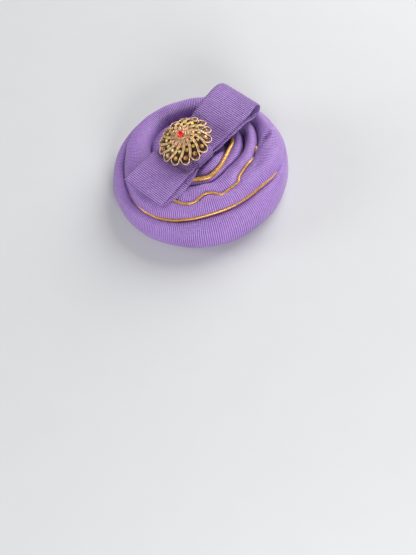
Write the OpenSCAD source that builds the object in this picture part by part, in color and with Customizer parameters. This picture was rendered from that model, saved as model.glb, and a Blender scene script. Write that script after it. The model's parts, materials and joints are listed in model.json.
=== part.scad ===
// Fascinator headpiece: padded fabric rolls on a stiffened base, gold piping,
// a flat bow with a wrapped waist, and a jewelled brooch pinned through the waist.
// Origin: centre of the rim that the headpiece rests on, +X to the wearer's front.

/* [Headpiece] */
// Outside diameter of the outer roll
hat_d = 138; // [134:1:142]
// Height of the outer roll
roll_h = 27; // [26:0.5:28]
// Rise of the upper rolls towards the front, degrees
crown_tilt = 3.5; // [3:0.1:4]
// Thickness of the fabric covers
cover_t = 0.8; // [0.6:0.1:1]

/* [Base] */
// Radius of the buckram base
base_r = 49.4; // [48:0.1:49.4]
// Height of the hollow under the base
hollow_h = 19.5; // [19:0.1:20]
// Radius that the base is blocked to
head_r = 100; // [95:1:105]
// Diameter of the edge wire
edge_wire_d = 1.2; // [1:0.1:1.2]

/* [Piping] */
// Diameter of the outer piping
outer_piping_d = 2.2; // [1.8:0.1:2.4]
// Diameter of the wavy piping
middle_piping_d = 1.8; // [1.4:0.1:2]
// Diameter of the inner piping
inner_piping_d = 3.2; // [2.6:0.1:3.4]

/* [Bow] */
// Width of the bow's band
bow_w = 41; // [38:0.5:42]
// Thickness of the band
band_t = 0.9; // [0.7:0.1:1]
// Direction of the bow, degrees from the front
bow_turn = 37.5; // [36:0.5:39]
// Width of the wrap round the waist
wrap_w = 16; // [14:0.5:16.5]

/* [Brooch] */
// Diameter of the brooch
brooch_d = 43.4; // [42:0.2:44]
// Number of petals
petals = 14; // [12:1:14]
// Diameter of the centre stone
stone_d = 6.4; // [6:0.1:6.6]
// Diameter of the pin stem
stem_d = 0.9; // [0.8:0.05:0.9]

/* [Comb] */
// Number of teeth
comb_teeth_n = 18; // [12:1:20]
// Spacing of the teeth
comb_pitch = 2.9; // [2.6:0.1:3]
// Length of the teeth
comb_tooth = 32; // [28:1:34]

/* [Elastic] */
// Diameter of the round elastic
elastic_d = 1.3; // [1:0.1:1.5]

/* [Hidden] */

hat_r = hat_d / 2;
crown_z = roll_h - 0.5;          // height of the crown's own plane at the centre
purple = [0.52, 0.37, 0.74];
gold = [0.83, 0.62, 0.28];
old_gold = [0.66, 0.50, 0.32];

// ---- curves ---------------------------------------------------------------
function mix4(a, b, c, d, t) =
    0.5 * (2 * b + (c - a) * t + (2 * a - 5 * b + 4 * c - d) * t * t
           + (3 * b - a - 3 * c + d) * t * t * t);
// smooth closed curve through points, k steps a span
function closed_curve(p, k) = [for (i = [0:len(p) - 1], j = [0:k - 1])
    mix4(p[(i + len(p) - 1) % len(p)], p[i], p[(i + 1) % len(p)], p[(i + 2) % len(p)], j / k)];
// smooth open curve through points, k steps a span
function open_curve(p, k) = concat([for (i = [0:len(p) - 2], j = [0:k - 1])
    mix4(p[max(i - 1, 0)], p[i], p[i + 1], p[min(i + 2, len(p) - 1)], j / k)], [p[len(p) - 1]]);
function unit(v) = v / norm(v);
function side_of(p, i, closed) = let(n = len(p),
        a = closed ? p[(i + n - 1) % n] : p[max(i - 1, 0)],
        b = closed ? p[(i + 1) % n] : p[min(i + 1, n - 1)], d = unit(b - a)) [-d[1], d[0]];
// points moved sideways by d, to the left of the curve's direction
function moved(p, d, closed = false) = [for (i = [0:len(p) - 1]) p[i] + d * side_of(p, i, closed)];

// ---- solids from curves ---------------------------------------------------
// round tube along a path of 3D points
module tube(path, d, sides = 8) {
    n = len(path);
    rings = [for (i = [0:n - 1]) let(
        t = unit(path[min(i + 1, n - 1)] - path[max(i - 1, 0)]),
        a = unit(cross(t, [0, 0, 1])), b = cross(a, t))
        [for (k = [0:sides - 1]) path[i] + d / 2 * (cos(360 * k / sides) * a + sin(360 * k / sides) * b)]];
    skin(rings);
}
// closed solid over rings of points that all have the same count
module skin(rings) {
    n = len(rings);
    s = len(rings[0]);
    faces = concat(
        [[for (k = [0:s - 1]) k]],
        [for (i = [0:n - 2], k = [0:s - 1], h = [0, 1]) let(k2 = (k + 1) % s)
            h == 0 ? [i * s + k, (i + 1) * s + k, (i + 1) * s + k2]
                   : [i * s + k, (i + 1) * s + k2, i * s + k2]],
        [[for (k = [s - 1:-1:0]) (n - 1) * s + k]]);
    polyhedron([for (r = rings, p = r) p], faces, convexity = 6);
}
// the tilted plane that the upper rolls lie in
module crown_plane() {
    translate([0, 0, crown_z]) rotate([0, -crown_tilt, 0]) children();
}
module spin(section, from = 0, turn = 360) {
    rotate([0, 0, from]) rotate_extrude(angle = turn, $fn = 96) polygon(section);
}
// cover with a hollow for its wadding
module spin_shell(section, t) {
    rotate_extrude($fn = 96) difference() {
        polygon(section);
        polygon(moved(section, t, true));
    }
}
module dome_shell(r_in, r_out, rim) {
    intersection() {
        translate([0, 0, hollow_h - head_r]) difference() {
            sphere(r_out, $fn = 96);
            sphere(r_in, $fn = 96);
        }
        cylinder(r = rim, h = 60, $fn = 96);
    }
}

// ---- base -----------------------------------------------------------------
buckram_t = 1.4;
lining_t = 0.8;
lining_gap = 0.2;
rim_z = hollow_h - head_r + sqrt(pow(head_r + buckram_t / 2, 2) - pow(base_r, 2));
wire_r = base_r + 0.3 + edge_wire_d / 2;    // radius of the edge wire's circle
joiner_wall = 0.25;
joiner_turn = 14;

module base_buckram() { color("beige") dome_shell(head_r, head_r + buckram_t, base_r); }
module base_lining() {
    color("indigo") dome_shell(head_r - lining_gap - lining_t, head_r - lining_gap, base_r - 0.6);
}
// ribbon sewn over the lining's raw edge
module rim_ribbon() {
    color("darkslateblue") spin(closed_curve(
        [[48.2, 2.6], [49.2, 1.2], [50.6, 1.6], [51.2, 3.2], [50.4, 4.6], [48.8, 4.5]], 3));
}
module edge_wire() {
    color("silver") translate([0, 0, rim_z]) rotate_extrude($fn = 96)
        translate([wire_r, 0]) circle(d = edge_wire_d, $fn = 16);
}
// crimped sleeve over the edge wire's two ends
module wire_joiner() {
    color("goldenrod") translate([0, 0, rim_z]) rotate([0, 0, 173]) rotate_extrude(angle = joiner_turn, $fn = 96)
        translate([wire_r, 0]) difference() {
            circle(d = edge_wire_d + 2 * joiner_wall, $fn = 16);
            circle(d = edge_wire_d + 0.1, $fn = 16);
        }
}
// wadding dome under the folds, in the crown's own plane
function buckram_top(r) = hollow_h - head_r + sqrt(pow(head_r + buckram_t, 2) - r * r);
padding_lift = 0.4;                // clear of the base on the low side
padding_section = concat(
    [for (r = [0:4:44]) [r, buckram_top(r) - crown_z + r * tan(crown_tilt) + padding_lift]],
    [[46.6, -11], [43.6, -7.6], [42.6, -2.6], [40, -0.4], [0, -0.4]]);
module crown_padding() { color("white") crown_plane() spin(padding_section); }

// ---- rolls and folds ------------------------------------------------------
outer_points = [[56.5, -0.4], [60.6, -0.4], [64.8, 2.4], [68, 7], [hat_r, 13], [68.1, 19],
                [65.8, 24], [63.2, roll_h], [61.3, 25.4], [60.9, 21.6], [58.6, 16.5], [55.8, 11],
                [53.4, 6], [52.2, 2.2], [52.8, -0.4]];
// flattened where it rests
outer_section = [for (p = closed_curve(outer_points, 3)) [min(p[0], hat_r), max(p[1], 0)]];
second_points = [[58.1, 0.2], [58.1, 3.4], [56.6, 6.6], [53.4, 8.4], [49.8, 8], [47, 5.6], [45.4, 2],
                 [44.4, -3], [45.6, -7.6], [49, -9.4], [52.4, -7.6], [55.6, -3.4]];
second_section = closed_curve(second_points, 3);
fill_gap = 0.15;

module outer_roll() { color(purple) spin_shell(outer_section, cover_t); }
module outer_roll_wadding() {
    color("white") spin(moved(outer_section, cover_t + fill_gap, true));
}
module second_roll() { color(purple) crown_plane() spin_shell(second_section, cover_t); }
module second_roll_wadding() {
    color("white") crown_plane() spin(moved(second_section, cover_t + fill_gap, true));
}

// distance from the hat's axis to a circle, in direction a
function reach(c, r, a) = let(e = [cos(a), sin(a)], d = c * e) d + sqrt(r * r - c * c + d * d);
fold_turn = [-152, 44];            // where the folds pass under the bow
third_circle = [[5, 8], 32.6];     // inner edge of the third fold
panel_at = [-3, 2];
third_out = 43.8;
// crescent fold between two edges, rounded above and flat below
module crescent(from, to, inner, outer, low, high, steps = 26) {
    rings = [for (i = [0:steps]) let(a = from + (to - from) * i / steps,
        ri = inner(a), ro = outer(a), m = (ri + ro) / 2, h = (ro - ri) / 2)
        [for (q = [[-1, 0], [-0.96, 0.5], [-0.75, 0.84], [-0.4, 0.98], [0, 1], [0.4, 0.98],
                   [0.75, 0.84], [0.96, 0.5], [1, 0]])
            [(m + h * q[0]) * cos(a), (m + h * q[0]) * sin(a), low + (high - low) * q[1]]]];
    skin(rings);
}
module third_fold() {
    color(purple) crown_plane() crescent(fold_turn[0], fold_turn[1],
        function(a) max(reach(third_circle[0], third_circle[1], a), 27.4), function(a) third_out, 0, 8.4);
}
module fourth_fold() {
    color(purple) crown_plane() crescent(-52, 24,
        function(a) 25.6 + 0.2 * max(0, a + 27),
        function(a) reach(third_circle[0], third_circle[1] - 0.6, a), 0, 6.6);
}
// the fold on the other side of the bow
module side_fold() {
    color(purple) crown_plane() crescent(70, 190, function(a) 31, function(a) third_out, 0, 5.4);
}
panel_section = [[0, 0], [24, 0], [24.6, 1.6], [23.4, 3.4], [18, 4], [0, 4.2]];
module crown_panel() { color(purple) crown_plane() translate(panel_at) spin(panel_section); }

// ---- piping ---------------------------------------------------------------
// the wavy piping's route in the crown's plane
wavy_route = [[-31, -31, 7.8], [-27, -36, 8.2], [-22, -40.5, 9.2], [-17, -44.5, 9.6], [-12, -45.8, 9.6],
              [-7, -44.8, 9.7], [-3, -42, 9.8], [1, -40.4, 9.8], [6, -41, 9.8], [11, -44, 9.8],
              [15, -43.5, 9.8], [20, -40.5, 9.7], [26, -37, 9.6], [28, -32, 9.8], [31.5, -27.5, 9.8],
              [35, -23.5, 9.8], [38, -20.5, 9.6], [42.5, -14, 8.4], [44.4, -9, 7.2], [45, -3, 6.6]];
module outer_piping() {
    color(gold) crown_plane() translate([0, 0, 1.4]) rotate_extrude($fn = 96)
        translate([59.5, 0]) circle(d = outer_piping_d, $fn = 16);
}
module middle_piping() { color(gold) crown_plane() tube(open_curve(wavy_route, 3), middle_piping_d); }
// the inner piping's route, round the centre panel
inner_route = [[-16, -21, 5.2], [-10, -23.6, 6], [-4.7, -24.9, 6.2], [1, -25.9, 6.2], [6, -25.4, 6.2],
               [11.5, -22.2, 6.2], [16.6, -16.6, 6.2], [21, -9.8, 6.2], [24.8, -3, 6.2], [28, 3, 6.2], [30, 9, 6.2]];
module inner_piping() { color(gold) crown_plane() tube(open_curve(inner_route, 4), inner_piping_d, 10); }

// ---- bow ------------------------------------------------------------------
bow_centre = [-3.2, 5];
// profiles along the bow: distance from its centre, and height; each runs round its loop
upper_line = [[-2.6, 33.8], [5, 34], [12, 35.6], [20, 39.4], [30, 43], [39, 45], [45, 44.6], [49.8, 42.6],
              [54, 42.4], [56.5, 44.4], [55.8, 47], [51.6, 48.3], [45, 48.2], [35, 46.7], [25, 43.4],
              [16, 39.3], [8, 36.4], [-2.6, 35.3]];
lower_line = [[-5.4, 35.3], [-13, 35.4], [-18, 36.2], [-25, 38.4], [-36, 38], [-47, 36.6], [-52.4, 36],
              [-54.4, 34.9], [-52.4, 33.8], [-46.6, 34.6], [-38, 35.7], [-29, 36], [-21, 34.6], [-13, 33.8],
              [-5.4, 33.8]];
function band(line) = let(c = open_curve(line, 3))
    concat(moved(c, band_t / 2), [for (i = [len(c) - 1:-1:0]) moved(c, -band_t / 2)[i]]);
module bow_frame() { translate([bow_centre[0], bow_centre[1], 0]) rotate([0, 0, bow_turn]) children(); }
module bow_loop(line) {
    color(purple) bow_frame() translate([0, bow_w / 2, 0]) rotate([90, 0, 0])
        linear_extrude(height = bow_w) polygon(band(line));
}
module bow_upper_loop() { bow_loop(upper_line); }
module bow_lower_loop() { bow_loop(lower_line); }

brooch_at = [-6.9, 4.2, 44.6];
brooch_tilt = 12.4;       // along the bow, lower at its lower end
brooch_lean = 5;        // across the bow
wrap_half = 22.4;
wrap_mid = -1.6;          // the bow's middle, across it from the brooch
wrap_low = 31.9;
wrap_under = 1.1;         // below the back plate
wrap_t = 1.2;
// closed outline across the bow, cut off level under the brooch
module wrap_solid(inset) {
    low = wrap_low - brooch_at[2];
    ring = [[-wrap_half, low + 2], [-wrap_half + 1.2, low + 0.4], [-wrap_half + 3, low], [wrap_half - 3, low],
            [wrap_half - 1.2, low + 0.4], [wrap_half, low + 2], [wrap_half, 5], [-wrap_half, 5]];
    over = 0.1;
    difference() {
        translate(brooch_at) rotate([0, 0, bow_turn]) rotate([90, 0, 90])
            translate([wrap_mid, 0, -wrap_w / 2 - (inset > 0 ? over : 0)])
            linear_extrude(height = wrap_w + (inset > 0 ? 2 * over : 0)) polygon(moved(ring, inset, true));
        brooch_frame() translate([-30, -40, -wrap_under - inset]) cube([60, 80, 40]);
    }
}
// band round the waist
module bow_waist_wrap() {
    color(purple) difference() {
        wrap_solid(0);
        wrap_solid(wrap_t);
    }
}
// tacking stitches that hold the wrap's ends together underneath
module bow_stitches() {
    color("indigo") bow_frame() for (x = [-9:3:3]) translate([x, 0, wrap_low - 0.3])
        rotate([90, 0, 0]) translate([0, 0, -2]) cylinder(d = 0.4, h = 4, $fn = 16);
}

// ---- brooch, in its own frame: x along the bow, z out of the back plate ----
brooch_r = brooch_d / 2;
dome_low = 0.5;           // height of the dome's surface at its rim
dome_top = 9.4;
dome_r = (brooch_r * brooch_r + pow(dome_top - dome_low, 2)) / (2 * (dome_top - dome_low));
function dome_z(r) = dome_top - dome_r + sqrt(dome_r * dome_r - r * r);
function dome_slope(r) = asin(r / dome_r);
swirl = -38;              // turn of a petal from its root to its tip
root_r = 4.6;
lobe_at = 17.7;
petal_step = 360 / petals;
function swirl_at(r) = swirl * (r - root_r) / (brooch_r - root_r);
stone_rows = [[8.9, 1.2], [12.6, 2.1], [17, 2.5]];    // radius and diameter
module brooch_frame() {
    translate(brooch_at) rotate([0, 0, bow_turn]) rotate([0, -brooch_tilt, 0])
        rotate([-brooch_lean, 0, 0]) children();
}
module at_petal_stone(row) {
    r = stone_rows[row][0];
    for (i = [0:petals - 1]) rotate([0, 0, i * petal_step + swirl_at(r)])
        translate([r, 0, dome_z(r)]) rotate([0, dome_slope(r), 0]) children();
}
module brooch_back_plate() {
    color(old_gold) brooch_frame() rotate_extrude($fn = 64) polygon(
        [[0, 0], [17.6, 0], [18.6, 0.4], [19, 1.2], [19.2, 2.1], [18.5, 2.1], [18.2, 0.9], [0, 0.9]]);
}
dome_t = 0.7;
dome_rim = 19.8;          // inside the petals' scalloped edge
module brooch_dome() {
    color(old_gold * 0.6) brooch_frame() intersection() {
        translate([0, 0, dome_top - dome_r]) difference() {
            sphere(dome_r, $fn = 96);
            sphere(dome_r - dome_t, $fn = 96);
        }
        translate([0, 0, 2.3]) cylinder(r = dome_rim, h = 12, $fn = 64);
    }
}
wire_d = 0.95;
wire_gap = 0.15;          // above the dome
function petal_point(r, side) = let(a = swirl_at(r), h = petal_step / 2 - asin(wire_d * 0.52 / r),
        z = dome_z(r) + wire_d / 2 + wire_gap) [r * cos(a + side * h), r * sin(a + side * h), z];
function lobe_point(t) = let(c = [lobe_at * cos(swirl_at(lobe_at)), lobe_at * sin(swirl_at(lobe_at))],
        q = lobe_at * sin(petal_step / 2) - wire_d * 0.52, a = swirl_at(lobe_at) + t - 12,
        p = c + q * [cos(a), sin(a)]) [p[0], p[1], dome_z(min(norm(p), brooch_r)) + wire_d / 2 + wire_gap];
petal_path = concat([for (r = [root_r:1.8:lobe_at]) petal_point(r, -1)],
    [for (t = [-72:18:72]) lobe_point(t)],
    [for (i = [0:7]) petal_point(root_r + 1.8 * (7 - i), 1)]);
module petal_wires() {
    color(old_gold) brooch_frame() for (i = [0:petals - 1]) rotate([0, 0, i * petal_step])
        tube(petal_path, wire_d, 6);
}
cup_wall = 0.3;
module stone_cups() {
    color(old_gold) brooch_frame() for (row = [0:2]) at_petal_stone(row) difference() {
        cylinder(d = stone_rows[row][1] + 2 * cup_wall, h = 0.8, $fn = 24);
        translate([0, 0, -1]) cylinder(d = stone_rows[row][1] + 0.06, h = 3, $fn = 24);
    }
}
module row_of_stones(row) {
    d = stone_rows[row][1];
    brooch_frame() at_petal_stone(row) {
        translate([0, 0, 0.15]) cylinder(d = d, h = 0.65, $fn = 24);
        translate([0, 0, 0.8]) cylinder(d1 = d, d2 = d * 0.6, h = d * 0.18, $fn = 24);
    }
}
module inner_stones() { color("orange") row_of_stones(0); }
module middle_stones() { color("yellowgreen") row_of_stones(1); }
module tip_stones() { color("peru") row_of_stones(2); }

collet_r = stone_d / 2 + 0.8;
collet_z = dome_z(0) + 0.05;
module stone_collet() {
    color(old_gold) brooch_frame() translate([0, 0, collet_z]) rotate_extrude($fn = 48) polygon(
        [[0, 0], [collet_r, 0], [collet_r, 0.5], [collet_r - 0.5, 1.7], [collet_r - 1, 1.7],
         [collet_r - 1.4, 0.5], [0, 0.5]]);
}
module collet_claws() {
    color(old_gold) brooch_frame() for (a = [0:45:315]) rotate([0, 0, a + 22.5])
        translate([collet_r - 0.15, 0, collet_z + 1.5]) rotate([0, -14, 0]) cylinder(d = 0.6, h = 1.2, $fn = 16);
}
module centre_stone() {
    color("red") brooch_frame() translate([0, 0, collet_z + 0.6]) {
        cylinder(d1 = 2.2, d2 = stone_d - 1, h = 1.15, $fn = 12);
        translate([0, 0, 1.15]) cylinder(d1 = stone_d - 0.6, d2 = stone_d * 0.58, h = 1.1, $fn = 12);
    }
}

// pin: a hinged stem, and a roll-over safety catch
stem_z = -3.4;
hinge_x = -12;
rivet_d = 0.95;
eye_w = 2;
catch_x = 11;
catch_len = 2.4;
catch_in = 1.45;
sleeve_out = 1.38;
sleeve_in = 0.75;
slot_w = 1.25;
module hinge_block() {
    color(old_gold) brooch_frame() for (side = [-1, 1]) difference() {
        translate([hinge_x, side * (eye_w / 2 + 0.75), 0]) {
            translate([-1.6, -0.5, stem_z]) cube([3.2, 1, -stem_z]);
            translate([0, 0.5, stem_z]) rotate([90, 0, 0]) cylinder(r = 1.6, h = 1, $fn = 32);
        }
        translate([hinge_x, 5, stem_z]) rotate([90, 0, 0]) cylinder(d = rivet_d + 0.02, h = 10, $fn = 32);
    }
}
module hinge_rivet() {
    head = 0.4;
    half = eye_w / 2 + 1.3;
    color("silver") brooch_frame() translate([hinge_x, 0, stem_z]) rotate([90, 0, 0]) {
        translate([0, 0, -half]) cylinder(d = rivet_d, h = 2 * half, $fn = 32);
        for (s = [-1, 1]) translate([0, 0, s * (half + head / 2) - head / 2]) cylinder(d = 1.8, h = head, $fn = 32);
    }
}
module pin_stem() {
    color("silver") brooch_frame() translate([hinge_x, 0, stem_z]) difference() {
        union() {
            rotate([90, 0, 0]) translate([0, 0, -eye_w / 2]) cylinder(r = 1.2, h = eye_w, $fn = 32);
            rotate([0, 90, 0]) cylinder(d = stem_d, h = 25.4, $fn = 24);
            translate([25.4, 0, 0]) rotate([0, 90, 0]) cylinder(d1 = stem_d, d2 = 0.1, h = 2.2, $fn = 24);
        }
        rotate([90, 0, 0]) translate([0, 0, -5]) cylinder(d = rivet_d + 0.12, h = 10, $fn = 32);
    }
}
module slotted_ring(r_out, r_in, len) {
    difference() {
        rotate([0, 90, 0]) cylinder(r = r_out, h = len, $fn = 48);
        translate([-1, 0, 0]) rotate([0, 90, 0]) cylinder(r = r_in, h = len + 2, $fn = 48);
        translate([-1, -slot_w / 2, -5]) cube([len + 2, slot_w, 5]);
    }
}
module catch_base() {
    color(old_gold) brooch_frame() {
        translate([catch_x, 0, stem_z]) slotted_ring(2.1, catch_in, catch_len);
        difference() {
            translate([catch_x, -1.2, stem_z]) cube([catch_len, 2.4, -stem_z]);
            translate([catch_x - 1, 0, stem_z]) rotate([0, 90, 0]) cylinder(r = 1.8, h = catch_len + 2, $fn = 48);
        }
    }
}
module catch_sleeve() {
    color("silver") brooch_frame() translate([catch_x - 0.4, 0, stem_z]) {
        slotted_ring(sleeve_out, sleeve_in, 3.7);
        translate([3, 1.1, -0.5]) cube([0.7, 2, 1]);
    }
}

// ---- comb -----------------------------------------------------------------
comb_x = 40;
comb_z = 4.2;
tooth_wire = 0.9;
comb_half = (comb_teeth_n - 1) * comb_pitch / 2;
module comb_bar() {
    color("silver") translate([comb_x, comb_half + 1.6, comb_z]) rotate([90, 0, 0])
        cylinder(d = 1.8, h = 2 * comb_half + 3.2, $fn = 24);
}
// each tooth is a hairpin of wire
module comb_teeth() {
    leg = 0.7;
    color("silver") for (i = [0:comb_teeth_n - 1])
        translate([comb_x - 1, -comb_half + i * comb_pitch, comb_z]) rotate([0, -90, 0]) {
            for (s = [-1, 1]) translate([0, s * leg, 0]) cylinder(d = tooth_wire, h = comb_tooth, $fn = 16);
            translate([0, 0, comb_tooth]) rotate([0, -90, 0]) rotate([0, 0, -90]) rotate_extrude(angle = 180, $fn = 32)
                translate([leg, 0]) circle(d = tooth_wire, $fn = 16);
        }
}
// tape folded over the bar and sewn to the lining
module comb_tape() {
    color("indigo") translate([comb_x, comb_half, comb_z]) rotate([90, 0, 0])
        linear_extrude(height = 2 * comb_half) difference() {
            circle(r = 1.5, $fn = 32);
            circle(r = 1, $fn = 32);
            translate([-4, -0.7]) square([4, 1.4]);
        }
}
module comb_stitches() {
    color("indigo") for (i = [0:8]) translate([comb_x, -comb_half + 3 + i * (2 * comb_half - 6) / 8, comb_z])
        rotate([90, 0, 0]) rotate([0, 0, -60]) rotate_extrude(angle = 120, $fn = 32)
            translate([1.8, 0]) circle(d = 0.4, $fn = 16);
}

// ---- elastic --------------------------------------------------------------
knot_at = [-27, -37.5, 3.7];
knot_d = 3.4;
rest_z = elastic_d / 2;
// folded to and fro in the hollow, from one knot to the other; it lies on what the hat stands on
elastic_half = [[-25.8, -36.8, 2.3], [-23, -36.4, 0.95], [-18, -36, rest_z], [-8, -35.6, rest_z],
                [4, -35.6, rest_z], [13, -34, rest_z], [19.4, -29.6, rest_z], [21.6, -23.4, rest_z],
                [19.4, -17.2, rest_z], [13, -13.2, rest_z], [4, -12, rest_z], [-8, -12, rest_z],
                [-18, -11.6, rest_z], [-25.6, -8.6, rest_z], [-30.4, -3.4, rest_z]];
elastic_route = concat(elastic_half,
    [for (i = [len(elastic_half) - 1:-1:0]) [elastic_half[i][0], -elastic_half[i][1], elastic_half[i][2]]]);
module elastic() { color("black") tube(open_curve(elastic_route, 2), elastic_d); }
module elastic_knots() {
    color("black") for (s = [-1, 1]) translate([knot_at[0], s * knot_at[1], knot_at[2]]) sphere(d = knot_d, $fn = 32);
}

base_buckram();
base_lining();
rim_ribbon();
edge_wire();
wire_joiner();
crown_padding();
outer_roll();
outer_roll_wadding();
second_roll();
second_roll_wadding();
third_fold();
fourth_fold();
side_fold();
crown_panel();
outer_piping();
middle_piping();
inner_piping();
bow_upper_loop();
bow_lower_loop();
bow_waist_wrap();
bow_stitches();
brooch_back_plate();
brooch_dome();
petal_wires();
stone_cups();
inner_stones();
middle_stones();
tip_stones();
stone_collet();
collet_claws();
centre_stone();
hinge_block();
hinge_rivet();
pin_stem();
catch_base();
catch_sleeve();
comb_bar();
comb_teeth();
comb_tape();
comb_stitches();
elastic();
elastic_knots();
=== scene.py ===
import json
import math

import bmesh
import bpy
from mathutils import Matrix, Vector
from mathutils.noise import noise as lumps


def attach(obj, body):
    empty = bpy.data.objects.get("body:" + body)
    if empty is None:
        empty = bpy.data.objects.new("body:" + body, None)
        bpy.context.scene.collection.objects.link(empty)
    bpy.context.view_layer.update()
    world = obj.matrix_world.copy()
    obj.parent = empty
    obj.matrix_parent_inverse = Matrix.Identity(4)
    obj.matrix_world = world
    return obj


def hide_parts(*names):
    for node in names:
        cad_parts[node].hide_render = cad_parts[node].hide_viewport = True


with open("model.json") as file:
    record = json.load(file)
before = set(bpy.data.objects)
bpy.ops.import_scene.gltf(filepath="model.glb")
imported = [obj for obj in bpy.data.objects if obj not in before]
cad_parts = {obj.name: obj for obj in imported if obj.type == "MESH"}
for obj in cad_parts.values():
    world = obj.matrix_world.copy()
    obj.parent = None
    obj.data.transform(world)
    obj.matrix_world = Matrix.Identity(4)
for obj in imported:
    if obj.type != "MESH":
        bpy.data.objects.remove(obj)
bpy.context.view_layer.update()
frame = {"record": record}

MM = 0.001
TURN = 2 * math.pi
BODY = "headpiece"
UP = Vector((0, 0, 1))


def mm(*values):
    return Vector(values) * MM


# ---- camera, floor and lights ----------------------------------------------------------

CAMERA_RISE = math.radians(50.6)      # above the rim's plane
CAMERA_ROLL = math.radians(11)        # the headpiece is worn tipped to one side
CAMERA_AWAY = 0.612
AIM_POINT = mm(0, 0, 20)
AIM_SLOPE = (-0.0108, 0.1456)         # sets that point left of and well above the middle of the view


def look(name, place, aim, data):
    thing = bpy.data.objects.new(name, data)
    bpy.context.collection.objects.link(thing)
    turn = (Vector(aim) - Vector(place)).to_track_quat("-Z", "Y").to_matrix()
    thing.matrix_world = Matrix.Translation(place) @ turn.to_4x4()
    return thing


def camera():
    data = bpy.data.cameras.new("camera")
    data.lens, data.sensor_width, data.clip_start = 50, 36, 0.01
    away = Vector((0, -math.cos(CAMERA_RISE), math.sin(CAMERA_RISE))) * CAMERA_AWAY
    eye = look("camera", AIM_POINT + away, AIM_POINT, data)
    to_aim = Vector((AIM_SLOPE[0], AIM_SLOPE[1], -1))
    lean = Vector((0, 0, -1)).rotation_difference(to_aim).to_matrix().inverted()
    turn = eye.matrix_world.to_3x3() @ Matrix.Rotation(-CAMERA_ROLL, 3, "Z") @ lean
    eye.matrix_world = Matrix.Translation(AIM_POINT + away) @ turn.to_4x4()
    bpy.context.scene.camera = eye


def soft_light(name, place, aim, size, power, tint=(1, 1, 1)):
    data = bpy.data.lights.new(name, "AREA")
    data.shape, data.size, data.energy, data.color = "DISK", size, power, tint
    look(name, place, aim, data)


def studio():
    bpy.context.scene.view_settings.view_transform = "Standard"
    world = bpy.data.worlds.new("studio")
    bpy.context.scene.world = world
    world.use_nodes = True
    sky = world.node_tree.nodes["Background"]
    sky.inputs["Color"].default_value = (0.94, 0.95, 1, 1)
    sky.inputs["Strength"].default_value = 0.22
    soft_light("window", (0.85, 0.75, 0.75), (0, 0, 0.02), 1.3, 26, (1, 0.99, 0.97))
    soft_light("front_lamp", (0.15, -1.05, 0.45), (0, 0, 0.02), 0.5, 11, (1, 0.99, 0.98))
    soft_light("left_wall", (-1.0, 0.15, 0.4), (0, 0, 0.02), 0.6, 5, (0.98, 0.98, 1))


# ---- finishes --------------------------------------------------------------------------

class Value:
    """A socket that takes part in sums."""

    def __init__(self, finish, socket):
        self.finish, self.socket = finish, socket

    def maths(self, operation, *others, clamp=False):
        return self.finish.node("ShaderNodeMath", {"operation": operation, "use_clamp": clamp},
                                dict(enumerate((self,) + others)))

    def __add__(self, other):
        return self.maths("ADD", other)

    def __mul__(self, other):
        return self.maths("MULTIPLY", other)

    def __sub__(self, other):
        return self.maths("SUBTRACT", other)

    def __rsub__(self, other):
        return self * -1 + other

    def __truediv__(self, other):
        return self.maths("DIVIDE", other)

    def __pow__(self, other):
        return self.maths("POWER", other)

    __radd__ = __add__
    __rmul__ = __mul__

    def wave(self):
        """From 0 to 1 and back for each whole number."""
        return (self * TURN).maths("COSINE") * 0.5 + 0.5

    def ramp(self, low, high):
        return self.finish.node("ShaderNodeMapRange", {"interpolation_type": "SMOOTHSTEP"},
                                {0: self, 1: low, 2: high, 3: 0, 4: 1})


class Finish:
    """One material, with its surface shader."""

    def __init__(self, name, **surface):
        self.material = bpy.data.materials.new(name)
        self.material.use_nodes = True
        self.tree = self.material.node_tree
        self.surface = self.tree.nodes["Principled BSDF"]
        self.set(**surface)

    def set(self, **surface):
        for key, value in surface.items():
            self.feed(self.surface.inputs[key.replace("_", " ")], value)

    def feed(self, socket, value):
        if isinstance(value, Value):
            self.tree.links.new(value.socket, socket)
        elif hasattr(value, "__len__") and len(value) == 3 and len(socket.default_value) == 4:
            socket.default_value = (*value, 1)
        else:
            socket.default_value = value

    def node(self, kind, settings=None, inputs=None, output=0):
        made = self.tree.nodes.new(kind)
        for key, value in (settings or {}).items():
            setattr(made, key, value)
        for key, value in (inputs or {}).items():
            self.feed(made.inputs[key], value)
        return Value(self, made.outputs[output])

    def place(self):
        return self.node("ShaderNodeTexCoord", output="Object")

    def noise(self, scale, detail=2, rough=0.5, where=None):
        return self.node("ShaderNodeTexNoise", {}, {
            "Vector": where or self.place(), "Scale": scale, "Detail": detail, "Roughness": rough})

    def mix(self, amount, first, second):
        """Colours only; sockets 6 and 7 are a Mix node's colours."""
        return self.node("ShaderNodeMix", {"data_type": "RGBA"}, {0: amount, 6: first, 7: second}, 2)

    def bump(self, height, depth, strength=1.0):
        return self.node("ShaderNodeBump", {}, {"Strength": strength, "Distance": depth, "Height": height})

    def weave(self):
        """Along and across the cloth, in metres."""
        where = self.node("ShaderNodeUVMap", {"uv_map": "weave"})
        return [self.node("ShaderNodeSeparateXYZ", {}, {0: where}, axis) for axis in (0, 1)]


RIB = 1.42 * MM
THREAD = 1.2 * MM
RIBBON_RIB = 0.9 * MM
VIOLET = (0.51, 0.28, 0.74)
# the near-black violet below is painted shade for the rib grooves, a shaded copy of the cloth's violet
VIOLET_GROOVE_SHADE = (0.05, 0.02, 0.15)


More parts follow.
